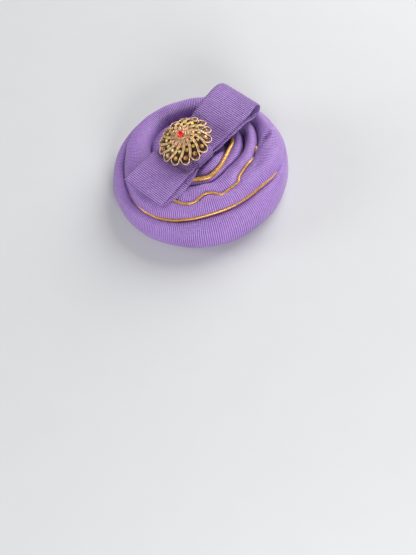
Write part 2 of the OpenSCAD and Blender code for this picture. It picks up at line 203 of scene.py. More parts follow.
def ribbed_fabric(name, light, dark, rib=RIB, thread=THREAD, groove_shade=0.88, relief=0.34):
    """Ribs across the cloth's length, crossed by finer threads; the base colour darkens the grooves between
    ribs with painted shade.
    """
    f = Finish(name, Roughness=0.42, Sheen_Weight=0.15, Sheen_Roughness=0.4, Sheen_Tint=(0.85, 0.75, 1))
    along, across = f.weave()
    drift = (f.noise(60, 1) - 0.5) * 0.6
    ribs = (along / rib + drift).wave() ** 0.8
    threads = (across / thread + drift).wave() ** 0.8
    slub = f.noise(380, 2) * 0.3 + f.noise(28, 3) * 0.3 - 0.3
    weave = ribs * (threads * 0.4 + 0.6)
    # painted shade: the base colour goes towards the near-black colour in the grooves between ribs and
    # threads
    f.set(Base_Color=f.mix((weave * groove_shade + (1 - groove_shade) + slub).maths("ADD", 0, clamp=True), dark, light),
          Roughness=0.46 - weave * 0.14,
          Normal=f.bump(ribs * 0.6 + threads * 0.4, relief * MM, 0.95))
    return f.material


def satin_piping(name):
    f = Finish(name, Roughness=0.3, Metallic=0.45, Sheen_Weight=0.2)
    along, across = f.weave()
    # one noise gives wrinkles for roughness and bump, and also painted shade in them (dark colour) with a
    # painted satin highlight between them (bright colour)
    wrinkles_and_painted_shade = f.noise(1, 3, 0.6, where=f.node("ShaderNodeCombineXYZ", {}, {
        0: along * 900 + across * 1400, 1: across * 900, 2: 0.0}))
    f.set(Base_Color=f.mix(wrinkles_and_painted_shade.ramp(0.3, 0.7), (0.36, 0.14, 0.022), (0.88, 0.5, 0.13)),
          Roughness=0.26 + wrinkles_and_painted_shade * 0.2,
          Normal=f.bump(wrinkles_and_painted_shade, 0.1 * MM, 0.6))
    return f.material


def antique_gold(name, bright=(0.8, 0.54, 0.31), dull=(0.4, 0.23, 0.115)):
    f = Finish(name, Metallic=0.6, Roughness=0.42)
    patina = f.noise(420, 4, 0.65)
    f.set(Base_Color=f.mix(patina.ramp(0.35, 0.6), dull, bright),
          Roughness=0.52 - patina * 0.25,
          Normal=f.bump(f.noise(1500, 2), 0.06 * MM, 0.6))
    return f.material


def faceted_glass(name, deep, bright, painted_glow=0.25):
    f = Finish(name, Roughness=0.05, IOR=1.65, Coat_Weight=0.5, Coat_Roughness=0.03)
    # painted glints: random spots lighten the base colour and glow as emission, so the stone shines with no
    # lamp on it
    painted_glints = f.noise(430, 1)
    f.set(Base_Color=f.mix(painted_glints.ramp(0.38, 0.62), deep, bright),
          Emission_Color=f.mix(painted_glints.ramp(0.45, 0.7), (0, 0, 0), bright), Emission_Strength=painted_glow)
    return f.material


def drawn_metal(name, light, dark, rough=0.28):
    f = Finish(name, Metallic=1, Roughness=rough)
    grain = f.noise(900, 4, 0.7)
    f.set(Base_Color=f.mix(grain.ramp(0.3, 0.7), dark, light), Roughness=rough - 0.06 + grain * 0.14,
          Normal=f.bump(grain, 0.02 * MM, 0.4))
    return f.material


def open_weave(name, light, dark, pitch, rough=0.85):
    """Plain cloth on a flat square grid."""
    f = Finish(name, Roughness=rough)
    axes = [f.node("ShaderNodeSeparateXYZ", {}, {0: f.place()}, axis) for axis in (0, 1)]
    cloth = (axes[0] / pitch).wave() * 0.5 + (axes[1] / pitch).wave() * 0.5
    fuzz = f.noise(300, 3)
    f.set(Base_Color=f.mix(cloth * 0.7 + fuzz * 0.3, dark, light),
          Normal=f.bump(cloth + fuzz * 0.5, pitch * 0.2, 0.8))
    return f.material


def fluffy(name):
    f = Finish(name, Roughness=0.95, Sheen_Weight=0.4)
    fibre = f.noise(700, 5, 0.75)
    f.set(Base_Color=f.mix(fibre, (0.6, 0.6, 0.58), (0.9, 0.9, 0.88)), Normal=f.bump(fibre, 0.6 * MM, 0.9))
    return f.material


def braided(name):
    f = Finish(name, Roughness=0.7, Sheen_Weight=0.3)
    along, across = f.weave()
    strands = (along * 700 + across * 700).wave() * 0.5 + (along * 700 - across * 700).wave() * 0.5
    f.set(Base_Color=f.mix(strands, (0.006, 0.006, 0.007), (0.045, 0.045, 0.05)),
          Normal=f.bump(strands, 0.12 * MM, 0.9))
    return f.material


FINISH = {
    "cover_fabric": ribbed_fabric("cover_fabric", VIOLET, VIOLET_GROOVE_SHADE),
    "bow_fabric": ribbed_fabric("bow_fabric", VIOLET, VIOLET_GROOVE_SHADE, rib=1.5 * MM, groove_shade=1.0, relief=0.6),
    "piping_satin": satin_piping("piping_satin"),
    "wadding": fluffy("wadding"),
    "buckram": open_weave("buckram", (0.74, 0.68, 0.55), (0.42, 0.37, 0.27), 1.6 * MM),
    # the darker colour of the lining and the ribbon is painted shade in their rib grooves
    "lining": ribbed_fabric("lining", (0.09, 0.05, 0.19), (0.03, 0.015, 0.075), 0.5 * MM, 0.5 * MM),
    "ribbon": ribbed_fabric("ribbon", (0.11, 0.06, 0.23), (0.03, 0.015, 0.08), RIBBON_RIB, 3 * MM),
    "thread": open_weave("thread", (0.12, 0.07, 0.24), (0.04, 0.02, 0.1), 0.25 * MM),
    "elastic_black": braided("elastic_black"),
    "wire_steel": drawn_metal("wire_steel", (0.7, 0.7, 0.71), (0.42, 0.42, 0.44)),
    "joiner_brass": drawn_metal("joiner_brass", (0.75, 0.55, 0.26), (0.45, 0.3, 0.12)),
    "antique_gold": antique_gold("antique_gold"),
    # near-black backplate between the petal wires: dark metal, with painted shade of the gaps between the
    # wires
    "dark_recess": antique_gold("dark_recess", (0.075, 0.045, 0.028), (0.012, 0.008, 0.006)),
    # the stones below are given painted glints and a painted glow; the last number is the glow strength
    "red_stone": faceted_glass("red_stone", (0.3, 0.0, 0.002), (0.95, 0.03, 0.008), 0.12),
    "amber_stone": faceted_glass("amber_stone", (0.42, 0.16, 0.02), (1.0, 0.5, 0.1)),
    "green_stone": faceted_glass("green_stone", (0.3, 0.17, 0.01), (0.66, 0.7, 0.05)),
    "topaz_stone": faceted_glass("topaz_stone", (0.1, 0.035, 0.012), (0.62, 0.28, 0.08)),
    "comb_metal": drawn_metal("comb_metal", (0.74, 0.74, 0.76), (0.5, 0.5, 0.52), 0.2),
}


def dress_cad_nodes():
    for sub in frame["record"]["subparts"]:
        node = bpy.data.objects.get(sub["node"])
        node.data.materials.clear()
        node.data.materials.append(FINISH[sub["material_slot"]])


# ---- soft goods from rows of points ----------------------------------------------------

def blend4(a, b, c, d, t):
    return 0.5 * (2 * b + (c - a) * t + (2 * a - 5 * b + 4 * c - d) * t * t
                  + (3 * b - a - 3 * c + d) * t * t * t)


def smooth(points, steps, closed=False):
    """Smooth curve through points, with so many steps between them."""
    points = [Vector(p) for p in points]
    n = len(points)
    out = []
    for i in range(n if closed else n - 1):
        near = [(i + k) % n if closed else min(max(i + k, 0), n - 1) for k in (-1, 0, 1, 2)]
        for j in range(steps):
            out.append(blend4(*[points[k] for k in near], j / steps))
    return out if closed else out + [points[-1]]


def evenly(points, count):
    """The same line with count points an equal way apart."""
    far = [0.0]
    for a, b in zip(points, points[1:]):
        far.append(far[-1] + (b - a).length)
    out, k = [], 0
    for i in range(count):
        want = far[-1] * i / (count - 1)
        while k < len(points) - 2 and far[k + 1] < want:
            k += 1
        step = far[k + 1] - far[k]
        out.append(points[k].lerp(points[k + 1], (want - far[k]) / step if step else 0))
    return out


def lengths(points, closed):
    ends = points + points[:1] if closed else points
    out = [0.0]
    for a, b in zip(ends, ends[1:]):
        out.append(out[-1] + (b - a).length)
    return out


def finish_piece(piece, slot, *stands_for, body=BODY):
    piece.data.materials.clear()
    piece.data.materials.append(FINISH[slot])
    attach(piece, body)
    if stands_for:
        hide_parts(*stands_for)
    return piece


def cloth_grid(name, rows, round_rows=False, caps=False, whole=None):
    """A mesh over closed rows of points, with a UV map in metres along the rows and across them.
    Given the width of one rib, only whole ribs go round, so they meet where the rows join."""
    n, m = len(rows), len(rows[0])
    along = lengths([max(row, key=lambda p: p.z) for row in rows], round_rows)
    if whole:
        scale = round(along[-1] / whole) * whole / along[-1]
        along = [a * scale for a in along]
    mesh = bpy.data.meshes.new(name)
    faces = []
    corners = []
    for i in range(n if round_rows else n - 1):
        for j in range(m):
            i2, j2 = (i + 1) % n, (j + 1) % m
            faces.append((i * m + j, i2 * m + j, i2 * m + j2, i * m + j2))
            corners.append(((i, j), (i + 1, j), (i + 1, j + 1), (i, j + 1)))
    if caps:
        faces.append(tuple(range(m)))
        corners.append(tuple((0, j) for j in range(m)))
        faces.append(tuple((n - 1) * m + j for j in reversed(range(m))))
        corners.append(tuple((n - 1, j) for j in reversed(range(m))))
    mesh.from_pydata([p for row in rows for p in row], [], faces)
    across = [lengths(row, True) for row in rows]
    uv = mesh.uv_layers.new(name="weave")
    spot = 0
    for ring in corners:
        for i, j in ring:
            uv.data[spot].uv = (along[i], across[i % n][j])
            spot += 1
    piece = bpy.data.objects.new(name, mesh)
    bpy.context.collection.objects.link(piece)
    work = bmesh.new()
    work.from_mesh(mesh)
    bmesh.ops.recalc_face_normals(work, faces=work.faces)
    work.to_mesh(mesh)
    work.free()
    mesh.polygons.foreach_set("use_smooth", [True] * len(mesh.polygons))
    return piece


def apply_modifier(piece, modifier):
    bpy.ops.object.select_all(action="DESELECT")
    bpy.context.view_layer.objects.active = piece
    piece.select_set(True)
    bpy.ops.object.modifier_apply(modifier=modifier.name)
    piece.select_set(False)


# ---- rolls and folds -------------------------------------------------------------------

HAT_R = 69
CROWN_Z = 26.5
TILT = math.radians(3.5)


def crown(x, y, h):
    """A point of the tilted crown plane, from millimetres."""
    return mm(x * math.cos(TILT) - h * math.sin(TILT), y, CROWN_Z + x * math.sin(TILT) + h * math.cos(TILT))


def bell(a, centre, width):
    """1 at a centre, in degrees, fading to both sides."""
    off = (a - centre + 180) % 360 - 180
    return math.exp(-(off / width) ** 2)


def wobble(a, seed, size):
    """Slow uneven change round the hat, in millimetres."""
    t = math.radians(a)
    return size * (math.sin(2 * t + seed) * 0.5 + math.sin(5 * t + 2.3 * seed) * 0.3
                   + math.sin(11 * t + 3.7 * seed) * 0.2)


def round_hat(marks):
    """A smooth value round the hat through (degrees, value) marks in rising order."""
    n = len(marks)

    def value(a):
        a = (a - marks[0][0]) % 360 + marks[0][0]
        i = max(k for k in range(n) if marks[k][0] <= a)
        at = [marks[(i + k) % n][0] + 360 * ((i + k) // n) for k in (-1, 0, 1, 2)]
        v = [marks[(i + k) % n][1] for k in (-1, 0, 1, 2)]
        step = at[2] - at[1]
        t = (a - at[1]) / step
        rise_in = (v[2] - v[0]) / (at[2] - at[0]) * step
        rise_out = (v[3] - v[1]) / (at[3] - at[1]) * step
        return ((2 * t ** 3 - 3 * t * t + 1) * v[1] + (t ** 3 - 2 * t * t + t) * rise_in
                + (3 * t * t - 2 * t ** 3) * v[2] + (t ** 3 - t * t) * rise_out)
    return value


# creases between the rolls: radius in millimetres by direction in degrees from +X
outer_crease = round_hat([(-171, 59.9), (-150, 60.6), (-125, 59.6), (-106, 56.6), (-90, 54.5), (-75, 54.6),
                          (-55, 56.2), (-41, 58.8), (-30, 62.4), (-16, 64.6), (0, 65), (17, 62.4), (40, 61),
                          (90, 61.5), (128, 63.6), (147, 62.6), (165, 60)])
wavy_crease = round_hat([(-170, 36.5), (-150, 42.5), (-133, 44), (-124, 45), (-116, 46), (-110, 47.4),
                         (-103, 46.8), (-97, 45), (-90, 40.8), (-83, 40.8), (-76, 45), (-64, 45.1), (-56, 45),
                         (-50, 42.8), (-42, 42), (-34, 42.4), (-27, 43.4), (-16, 44.4), (-6, 46), (1, 47.6),
                         (9, 49), (22, 51), (44, 50), (70, 47), (100, 46), (122, 46), (138, 44), (152, 40),
                         (165, 36), (178, 34.5)])
third_crease = round_hat([(-175, 31), (-140, 29.5), (-109, 28.4), (-95, 28.2), (-80, 28.4), (-62, 27.2),
                          (-43, 27.8), (-27, 30.8), (-15, 33.6), (4, 37.4), (24, 40.4), (60, 41), (120, 36)])
inner_h = round_hat([(-175, 0.5), (-150, 4), (-130, 6.6), (-100, 7.2), (-50, 7), (-28, 6.6), (-12, 5),
                     (4, 3), (30, 2.6), (80, 0.6), (125, -1), (150, -0.6), (168, -0.2)])
second_top = round_hat([(-160, 8.2), (-110, 8.6), (-60, 9.9), (-20, 10.3), (5, 10.2), (40, 8.8), (100, 8.4),
                        (150, 8.6)])
second_crest = round_hat([(-150, 0.62), (-100, 0.42), (-40, 0.46), (0, 0.55), (50, 0.55), (120, 0.6),
                          (165, 0.68)])


SECTION_STEPS = 4    # steps between the marks of a roll's outline


def roll_section(inner, outer, low_in, top, low_out, crest=0.5, deep=-4.0):
    """A roll's outline: two shoulders, a crest between them and a hidden underside."""
    wide = outer - inner
    rise_in, rise_out = top - low_in, top - low_out
    return [(outer, deep, 0), (outer, low_out, 0), (outer - 0.07 * wide, low_out + 0.52 * rise_out, 0),
            (outer - 0.45 * (1 - crest) * wide, top - 0.12 * rise_out, 0), (inner + crest * wide, top, 0),
            (inner + 0.4 * crest * wide, top - 0.16 * rise_in, 0),
            (inner + 0.06 * wide, low_in + 0.45 * rise_in, 0), (inner, low_in, 0), (inner, deep, 0),
            (inner + 0.3 * wide, deep - 1, 0), (outer - 0.3 * wide, deep - 1, 0)]


def crown_row(a, outline):
    c, s = math.cos(math.radians(a)), math.sin(math.radians(a))
    return [crown(p.x * c, p.x * s, p.y) for p in smooth(outline, SECTION_STEPS, True)]


def outer_row(a):
    """The big outer roll: flat where it rests, full at the side, turned in at the crease."""
    c, s = math.cos(math.radians(a)), math.sin(math.radians(a))
    crease = outer_crease(a)
    wide = HAT_R - crease
    top = CROWN_Z + crease * math.sin(TILT) * c + 0.9 - 3 * bell(a, 0, 34) + wobble(a, 3, 0.3)
    outline = [(56.5, 0, 0), (60.6, 0, 0), (64.8, 2.2, 0), (68, 7, 0), (HAT_R, 13, 0),
               (crease + 0.94 * wide, top - 7.4, 0), (crease + 0.78 * wide, top - 3.2, 0),
               (crease + 0.55 * wide, top - 0.5, 0), (crease + 0.3 * wide, top + 0.4, 0),
               (crease + 0.08 * wide, top - 0.2, 0), (crease - 0.5, top - 1.8, 0), (crease - 1.2, top - 5, 0),
               (min(56, crease - 2), 13, 0), (54.4, 8, 0), (53.2, 4, 0), (52.6, 1.4, 0), (53.2, 0.1, 0)]
    out = []
    for p in smooth(outline, SECTION_STEPS, True):
        r = min(p.x + wobble(a, 1 + p.y * 0.02, 0.35) * (p.y > 1), HAT_R)
        r += 1.5 * bell(a, 185, 48) * eased(p.x, 58, 68)
        out.append(mm(r * c, r * s, max(p.y, 0)))
    return out


def second_row(a):
    bulge = 0.8 * bell(a, -2, 26) + 0.5 * bell(a, 140, 40)
    return crown_row(a, roll_section(wavy_crease(a), outer_crease(a) - 0.2 + bulge, inner_h(a),
                                     second_top(a) + wobble(a, 5, 0.4), 0.8 - 2.6 * bell(a, 165, 40),
                                     second_crest(a)))


def third_row(a):
    low = 1.8 - 4.4 * bell(a, 14, 24) + 1.4 * bell(a, -100, 30)
    top = 8.9 + 0.7 * bell(a, -30, 45) + wobble(a, 7, 0.5)
    return crown_row(a, roll_section(third_crease(a), wavy_crease(a) - 0.1, low, top,
                                     inner_h(a), 0.5, -3))


def fourth_row(a):
    narrow = 1.4 * bell(a, 14, 18) - 0.5 * bell(a, -80, 40)
    low = 1.4 - 3.4 * bell(a, 14, 24) + 1.6 * bell(a, -90, 30)
    inner = inner_edge(a) + 0.4
    return crown_row(a, roll_section(inner, max(third_crease(a) + 0.5 - narrow, inner + 1.8), 4.4,
                                     6.9 + 1.0 * bell(a, -20, 34) + wobble(a, 9, 0.3), low, 0.5, -2))


def side_row(a):
    outer = wavy_crease(a) + 0.4
    inner = min(24, outer - 9)
    return crown_row(a, roll_section(inner, outer, 0.2, 3.6 + wobble(a, 8, 1.2), -1.6, 0.55, -2))


def rows_between(start, end, step, row):
    count = round(abs(end - start) / step)
    return [row(start + (end - start) * i / count) for i in range(count + (abs(end - start) < 360))]


# routes of the two inner pipings in the crown plane
WAVY_ROUTE = [(-31, -31, 7.4), (-27, -36, 8), (-22, -40.5, 8.6), (-17, -44.5, 8.8), (-12, -45.8, 8.8),
              (-7, -44.8, 8.8), (-3, -42, 8.9), (1, -40.4, 9), (6, -41, 9), (11, -44, 9), (15, -43.5, 9),
              (20, -40.5, 9), (26, -37, 8.9), (28, -32, 9), (31.5, -27.5, 9), (35, -23.5, 9),
              (38, -20.5, 8.6), (40.6, -16.6, 6.4), (43, -12.4, 3.4), (45.1, -8, 6.8), (45.8, -4, 4.4),
              (46.2, 0, 2.6)]
INNER_ROUTE = [(-12, -21.6, 5.6), (-8.6, -22.8, 6.8), (-4.4, -23.8, 7.2), (1, -24.8, 7.3), (5.8, -24.4, 7.3),
               (11, -21.3, 7.2), (16.2, -15.9, 7), (20.6, -9.4, 6.8), (24.6, -2.8, 6.4), (28, 3, 5.6),
               (30, 9, 4.6)]


def edge_of(route):
    """Radius of a route at an angle, from its nearest points."""
    marks = [(math.degrees(math.atan2(p.y, p.x)), math.hypot(p.x, p.y)) for p in smooth(route, 8)]

    def radius(a):
        before = [m for m in marks if m[0] <= a] or marks[:1]
        after = [m for m in marks if m[0] >= a] or marks[-1:]
        (a0, r0), (a1, r1) = max(before), min(after)
        return r0 if a1 <= a0 else r0 + (r1 - r0) * (a - a0) / (a1 - a0)
    return radius


inner_edge = edge_of(INNER_ROUTE)


def eased(x, low, high):
    t = min(max((x - low) / (high - low), 0), 1)
    return t * t * (3 - 2 * t)


def puff(x, y):
    """How far the centre panel swells in front of the bow's tight waist."""
    c, n = math.cos(BOW_TURN), math.sin(BOW_TURN)
    x, y = x - BOW_X, y - BOW_Y
    s, t = x * c + y * n, y * c - x * n
    return 4.6 * eased(-t, 15.5, 21) * math.exp(-((s - 3) / 19) ** 2)


PANEL_X, PANEL_Y, PANEL_SIDES = -3, 2, 96


def panel_rows():
    """The centre panel, from its middle out and down its edge."""
    profile = smooth([(0.3, 5.2, 0), (8, 5.1, 0), (16, 4.7, 0), (21, 4.2, 0), (24, 3.2, 0), (26, 1.4, 0),
                      (30, 0.5, 0), (38, 0.3, 0), (45, 0.1, 0), (46, -1.5, 0)], 4)
    rows = []
    for p in profile:
        ring = []
        for k in range(PANEL_SIDES):
            t = TURN * k / PANEL_SIDES
            hollow = bell(math.degrees(t), 140, 62) * min(p.x / 14, 1)
            x, y = PANEL_X + p.x * math.cos(t), PANEL_Y + p.x * math.sin(t)
            h = (p.y * (1 - 0.8 * hollow) + 0.25 * math.sin(9 * t) * min(p.x / 25, 1) ** 2
                 + puff(x, y) * (1 - eased(p.x, 23, 27)))
            ring.append(crown(x, y, h))
        rows.append(ring)
    return rows


def close_pole(piece):
    """Fill the small hole in the middle of a round cloth."""
    work = bmesh.new()
    work.from_mesh(piece.data)
    edge = [e for e in work.edges if e.is_boundary and sum((v.co.xy.length for v in e.verts)) < 20 * MM]
    bmesh.ops.contextual_create(work, geom=edge)
    work.to_mesh(piece.data)
    work.free()


def flat_weave(piece, turn=0.0):
    """Weave of cloth laid flat, seen from above."""
    c, s = math.cos(turn), math.sin(turn)
    mesh = piece.data
    for loop in mesh.loops:
        p = mesh.vertices[loop.vertex_index].co
        mesh.uv_layers["weave"].data[loop.index].uv = (p.x * c + p.y * s, p.y * c - p.x * s)


def push(piece, amount):
    """Move each vertex along its normal by amount(place), in millimetres."""
    vertices = piece.data.vertices
    outward = [v.normal.copy() for v in vertices]
    for v, normal in zip(vertices, outward):
        v.co += normal * amount(v.co) * MM


def tuck(piece, start, end, depth, width):
    """Press a crease into the cloth between two crown-plane points."""
    a, b = crown(*start), crown(*end)
    line = b - a

    def pressed(co):
        t = min(max((co - a).dot(line) / line.length_squared, 0), 1)
        off = (co - a - line * t).length / (width * MM)
        return -depth * math.exp(-off * off) * math.sin(math.pi * (0.15 + 0.7 * t))
    push(piece, pressed)


def soften(piece, size, scale, seed):
    """Slight unevenness of stuffed cloth, in millimetres."""
    shift = Vector((seed * 7.3, seed * 3.1, seed * 5.7))
    push(piece, lambda co: lumps(co * scale + shift) * size * (co.z > 1 * MM))


SWELL_FRAMES = 20
SWELL_MOST = 1.3     # how far a point of a cover may move as it fills, in millimetres


def fill_out(piece):
    """Let a cover swell as cloth under the pressure of its filling."""
    before = [v.co.copy() for v in piece.data.vertices]
    cloth = piece.modifiers.new("filling", "CLOTH")
    cloth.settings.mass = 0.0008
    cloth.settings.quality = 5
    cloth.settings.use_pressure = True
    cloth.settings.uniform_pressure_force = 4
    cloth.settings.effector_weights.gravity = 0
    cloth.settings.tension_stiffness = 5
    cloth.settings.compression_stiffness = 5
    cloth.settings.bending_stiffness = 0.02
    cloth.point_cache.frame_start = 1
    cloth.point_cache.frame_end = SWELL_FRAMES
    for number in range(1, SWELL_FRAMES + 1):
        bpy.context.scene.frame_set(number)
    apply_modifier(piece, cloth)
    for v, start in zip(piece.data.vertices, before):
        step = v.co - start
        v.co = start + step * min(1, SWELL_MOST * MM / max(step.length, 1e-9))
        v.co.z = max(v.co.z, 0)
    bpy.context.scene.frame_set(1)


def make_rolls():
    outer = cloth_grid("outer_roll_cover", rows_between(0, 360, 1.5, outer_row), round_rows=True, whole=RIB)
    soften(outer, 0.5, 60, 1)
    second = cloth_grid("second_roll_cover", rows_between(0, 360, 1.0, second_row), round_rows=True,
                        whole=RIB)
    soften(second, 0.6, 70, 2)
    tuck(second, (57, 2, 9.4), (45, -8, 9.2), 3.7, 1.9)
    tuck(second, (57, -3.6, 10), (47.6, -11, 9.8), -1.2, 2.6)
    tuck(second, (49, -19, 9.6), (40, -27, 9.4), 1.3, 3.4)
    tuck(second, (57, -12, 8), (46, -14, 8), 0.8, 2.5)
    third = cloth_grid("third_fold_cover", rows_between(-152, 44, 1.0, third_row), caps=True)
    soften(third, 0.5, 80, 3)
    fourth = cloth_grid("fourth_fold_cover", rows_between(-112, 26, 1.0, fourth_row), caps=True)
    side = cloth_grid("side_fold_cover", rows_between(66, 196, 1.0, side_row), caps=True)
    soften(side, 0.6, 70, 4)
    panel = cloth_grid("crown_panel_cover", panel_rows())
    close_pole(panel)
    flat_weave(panel, BOW_TURN)
    for piece in (outer, second, third, fourth, side):
        fill_out(piece)
    for piece, node in ((outer, "outer_roll"), (second, "second_roll"), (third, "third_fold"),
                        (fourth, "fourth_fold"), (side, "side_fold"), (panel, "crown_panel")):
        finish_piece(piece, "cover_fabric", node)


# ---- tubes: piping and elastic ---------------------------------------------------------

def tube(name, line, diameter, sides=12, round_rows=False, swell=0.0):
    rows = []
    n = len(line)
    for i, p in enumerate(line):
        before = line[(i - 1) % n] if round_rows else line[max(i - 1, 0)]
        after = line[(i + 1) % n] if round_rows else line[min(i + 1, n - 1)]
        t = (after - before).normalized()
        a = t.cross(UP).normalized()
        b = a.cross(t)
        r = diameter / 2 * (1 + swell * lumps(p * 350))
        rows.append([p + r * (a * math.cos(TURN * k / sides) + b * math.sin(TURN * k / sides))
                     for k in range(sides)])
    return cloth_grid(name, rows, round_rows=round_rows, caps=not round_rows)


# how far the outer piping is drawn down between the rolls, in millimetres
piping_sunk = round_hat([(-172, 0.8), (-155, 0.62), (-138, 0.34), (-118, 0.06), (-60, 0), (-40, 0.06),
                         (-30, 0.4), (-21, 1), (0, 1.1), (60, 1.1), (120, 1), (160, 0.7)])


def make_piping():
    ring = []
    for k in range(360):
        sunk = piping_sunk(k)
        r = outer_crease(k) - 0.1 - sunk
        t = math.radians(k)
        ring.append(crown(r * math.cos(t), r * math.sin(t), 1.9 - 4 * sunk - 0.8 * bell(k, 180, 26)))
    finish_piece(tube("outer_piping_cover", ring, 2.2 * MM, round_rows=True, swell=0.15),
                 "piping_satin", "outer_piping")
    wavy = evenly([crown(*p) for p in smooth(WAVY_ROUTE, 10)], 200)
    finish_piece(tube("middle_piping_cover", wavy, 1.8 * MM, swell=0.15), "piping_satin", "middle_piping")
    inner = evenly([crown(*p) for p in smooth(INNER_ROUTE, 10)], 160)
    finish_piece(tube("inner_piping_cover", inner, 3.4 * MM, sides=16, swell=0.05),
                 "piping_satin", "inner_piping")


KNOT = (-27, -37.5, 3.7)
REST = 0.65
ELASTIC_HALF = [(-25.8, -36.8, 2.3), (-23, -36.4, 0.95), (-18, -36, REST), (-8, -35.6, REST),
                (4, -35.6, REST), (13, -34, REST), (19.4, -29.6, REST), (21.6, -23.4, REST),
                (19.4, -17.2, REST), (13, -13.2, REST), (4, -12, REST), (-8, -12, REST),
                (-18, -11.6, REST), (-25.6, -8.6, REST), (-30.4, -3.4, REST)]


def make_elastic():
    route = ELASTIC_HALF + [(x, -y, z) for x, y, z in reversed(ELASTIC_HALF)]
    line = smooth([mm(*p) for p in route], 4)
    length = lengths(line, False)[-1]
    piece = tube("elastic_loop", line, 1.3 * MM, sides=10)
    finish_piece(piece, "elastic_black", "elastic")
    knots = []
    for side in (-1, 1):
        at = mm(KNOT[0], side * KNOT[1], KNOT[2])
        coil = [at + mm(1.0 * math.cos(t) * (1 + 0.3 * math.cos(1.5 * t)), 1.0 * math.sin(t),
                        0.75 * math.sin(1.5 * t)) for t in [TURN * 2 * k / 60 for k in range(60)]]
        name = "elastic_knot_" + ("right", "left")[side > 0]
        knots.append(tube(name, coil, 1.2 * MM, sides=8, round_rows=True))
    for knot in knots:
        finish_piece(knot, "elastic_black", "elastic_knots")


# ---- bow -------------------------------------------------------------------------------

BOW_X, BOW_Y = -3.2, 5
BOW_AT = mm(BOW_X, BOW_Y, 0)
BOW_TURN = math.radians(37.5)
BOW_W = 41
BAND_T = 0.9
# profiles of the two bands: distance along the bow from its centre, and height
UPPER_LINE = [(-2.6, 33.8), (5, 34), (12, 35.6), (20, 39.4), (30, 43), (38.5, 44.5), (44, 43), (49, 40.7),
              (54, 40), (57.8, 41.8), (58.6, 45), (56.2, 47.8), (50.6, 48.9), (44, 48.4), (35, 46.8),
              (25, 43.4), (16, 39.3), (8, 36.4), (-2.6, 35.3)]
LOWER_LINE = [(-5.4, 35.3), (-13, 35.4), (-18, 36.2), (-25, 38.4), (-36, 38), (-47, 36.6), (-52.4, 36),
              (-54.4, 34.9), (-52.4, 33.8), (-46.6, 34.6), (-38, 35.7), (-29, 36), (-21, 34.6), (-13, 33.8),
              (-5.4, 33.8)]


def bow_point(s, t, z):
    c, n = math.cos(BOW_TURN), math.sin(BOW_TURN)
    return BOW_AT + mm(s * c - t * n, s * n + t * c, z)


def band(name, line, edges, bend, count=150):
    """A band of cloth along a line of (distance, height), with rounded selvages.
    edges gives its two sides, and bend its curve across, by distance and by share of the way along."""
    path = evenly(smooth([(s, z, 0) for s, z in line], 8), count)
    rows = []
    for i, p in enumerate(path):
        d = (path[min(i + 1, count - 1)] - path[max(i - 1, 0)]).normalized()
        normal = Vector((-d.y, d.x, 0))
        near, far = edges(p.x, i / count)
        row = []
        for side in (1, -1):
            for k in range(21):
                u = side * (k / 10 - 1)
                thin = max(0.3, min(1, 1.5 - 1.2 * abs(u) ** 8))
                q = p + normal * side * BAND_T / 2 * thin
                t = near + (far - near) * (u + 1) / 2
                row.append(bow_point(q.x, t, q.y + bend(p.x, u, i / count)))
        rows.append(row)
    return cloth_grid(name, rows, caps=True)


def bump_between(x, low, high):
    """0 at both ends and 1 in the middle."""
    return math.sin(math.pi * min(max((x - low) / (high - low), 0), 1))


def upper_edges(s, along):
    under = min(max((0.5 - along) * 8, 0), 1)
    half = BOW_W / 2 * (0.93 + 0.06 * min(max(s / 40, 0), 1))
    corner = 2.4 * min(max((s - 50) / 8, 0), 1) ** 2
    gathered = (5.2 - 1.5 * under) * math.exp(-(s / 27) ** 2)
    open_end = 2.4 * eased(s, 43, 56) * (1 - under)
    return -half - 0.6 - 1.8 * under * bump_between(s, 4, 54) + open_end + gathered, half - corner


def lower_edges(s, along):
    under = min(max((along - 0.5) * 8, 0), 1)
    half = BOW_W / 2 * (0.96 + 0.02 * min(max(-s / 40, 0), 1))
    gathered = (5 - under) * math.exp(-(s / 21) ** 2)
    return -half - 4.4 * under * bump_between(-s, 8, 56) + gathered, half


def upper_bend(s, u, along):
    """The under layer sags at its edges and the upper layer is slightly cupped."""
    over = 1 if along > 0.5 else -1
    lifted = 2.6 * max(-u, 0) ** 4 * math.exp(-(s / 19) ** 2)
    return lifted + over * (0.3 * math.cos(s * 0.11) * u ** 4 - 0.25 * u * u) * min(max((s - 6) / 12, 0), 1)


def lower_bend(s, u, along):
    over = -1 if along > 0.5 else 1
    lifted = 2.6 * max(-u, 0) ** 4 * math.exp(-(s / 19) ** 2)
    cupped = over * (0.35 * u ** 4 - 0.3 * u * u) * min(max((-s - 10) / 12, 0), 1)
    sagging = 0.7 * u * u * bump_between(-s, 24, 56) if over < 0 and u < 0 else 0
    return lifted + cupped + 0.25 * u * (over > 0) - sagging


def make_bow():
    upper = band("bow_upper_band", UPPER_LINE, upper_edges, upper_bend)
    lower = band("bow_lower_band", LOWER_LINE, lower_edges, lower_bend)
    finish_piece(upper, "bow_fabric", "bow_upper_loop")
    finish_piece(lower, "bow_fabric", "bow_lower_loop")
    for piece, line in ((upper, UPPER_LINE), (lower, LOWER_LINE)):
        run = lengths(smooth([(s, z, 0) for s, z in line], 8), False)[-1] * MM


# ---- brooch ----------------------------------------------------------------------------

